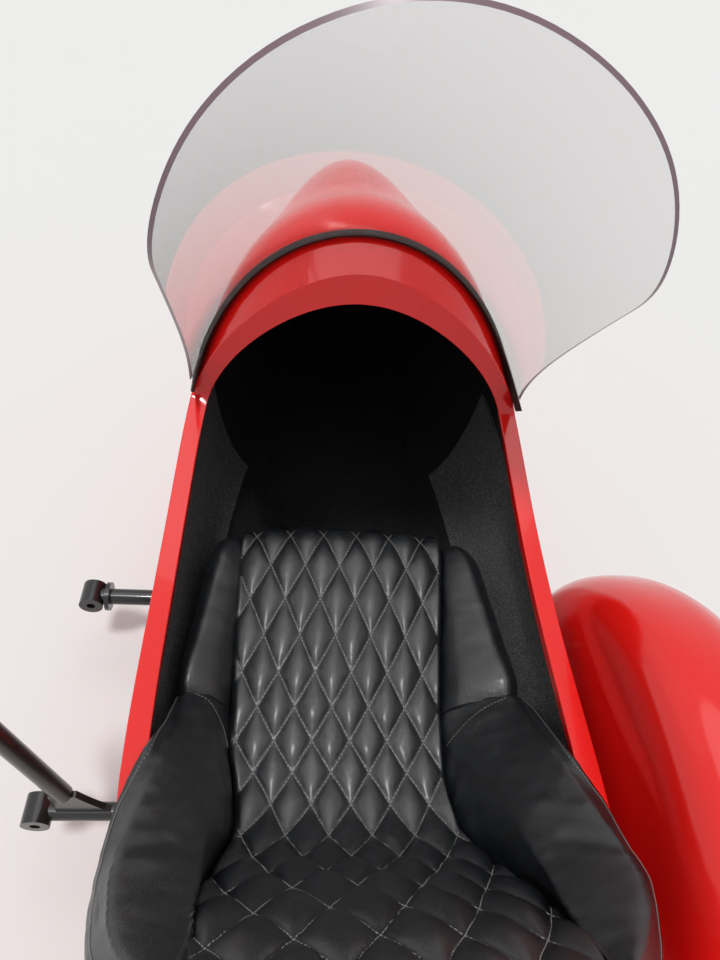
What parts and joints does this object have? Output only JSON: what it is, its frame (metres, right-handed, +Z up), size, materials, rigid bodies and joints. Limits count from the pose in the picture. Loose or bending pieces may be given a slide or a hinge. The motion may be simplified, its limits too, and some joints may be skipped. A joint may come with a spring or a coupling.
{
  "type": "motorcycle sidecar",
  "caption": "Right-hand motorcycle sidecar with a boat-shaped body, bucket seat, wrap-round windscreen, tube chassis, fendered wire wheel and trunk lid.",
  "frame": {"origin": "centre of the front lower mounting eye, on the chassis arm that bolts to the motorcycle", "axes": "+Y forward to the nose, +X to the sidecar's wheel side (away from the motorcycle), +Z up"},
  "size_m": [0.987, 2.205, 1.2527],
  "materials": {
    "red_paint": "high-gloss red enamel",
    "clear_acrylic": "clear bent acrylic with a faint mauve cut edge",
    "black_rubber": "matt",
    "black_carpet": "short-pile speckled carpet",
    "black_panel": "painted board",
    "black_vinyl": "grained vinyl, semi-gloss, light grey stitching",
    "black_frame": "black gloss enamel",
    "spring_steel": "black, satin",
    "bright_steel": "turned",
    "chrome": "polished",
    "hub_alloy": "satin",
    "brake_iron": "painted",
    "tyre_rubber": "road tyre",
    "red_lens": "moulded red lens"
  },
  "bodies": {
    "root": {"tub": "red_paint", "upper_body": "red_paint", "coaming": "red_paint", "fender": "red_paint", "windscreen": "clear_acrylic", "screen_strip": "black_rubber", "front_mounts": "black_rubber", "spring_pads": "black_rubber", "floor_mat": "black_carpet", "carpet_left": "black_carpet", "carpet_right": "black_carpet", "bulkhead": "black_panel", "seat_base": "black_panel", "seat_cushion": "black_vinyl", "seat_back": "black_vinyl", "cushion_bolster_left": "black_vinyl", "cushion_bolster_right": "black_vinyl", "back_bolster_left": "black_vinyl", "back_bolster_right": "black_vinyl", "rail_left": "black_frame", "rail_right": "black_frame", "cross_tubes": "black_frame", "axle_tube": "black_frame", "axle_tube_outer": "black_frame", "front_arm": "black_frame", "rear_arm": "black_frame", "gusset": "black_frame", "upper_strut": "black_frame", "axle_bracket": "black_frame", "fender_stays": "black_frame", "leaf_spring_left": "spring_steel", "leaf_spring_right": "spring_steel", "stub_axle": "bright_steel", "hinge_fixed": "chrome", "tail_lamp": "chrome", "brake_plate": "brake_iron", "tail_lamp_lens": "red_lens"},
    "wheel": {"tyre": "tyre_rubber", "wheel_rim": "chrome", "spokes": "chrome", "hub": "hub_alloy", "hub_cap": "chrome"},
    "trunk_lid": {"trunk_lid": "red_paint", "hinge_moving": "chrome", "lid_handle": "chrome"}
  },
  "joints": [
    {"name": "wheel_spin", "type": "hinge", "parent": "root", "child": "wheel", "pos_m": [0.87, -0.486, 0.152], "axis": [-1, 0, 0], "continuous": true},
    {"name": "trunk_hinge", "type": "hinge", "parent": "root", "child": "trunk_lid", "pos_m": [0.47, -0.9085, 0.55367], "axis": [-1, 0, 0], "range_deg": [0, 75]}
  ]
}
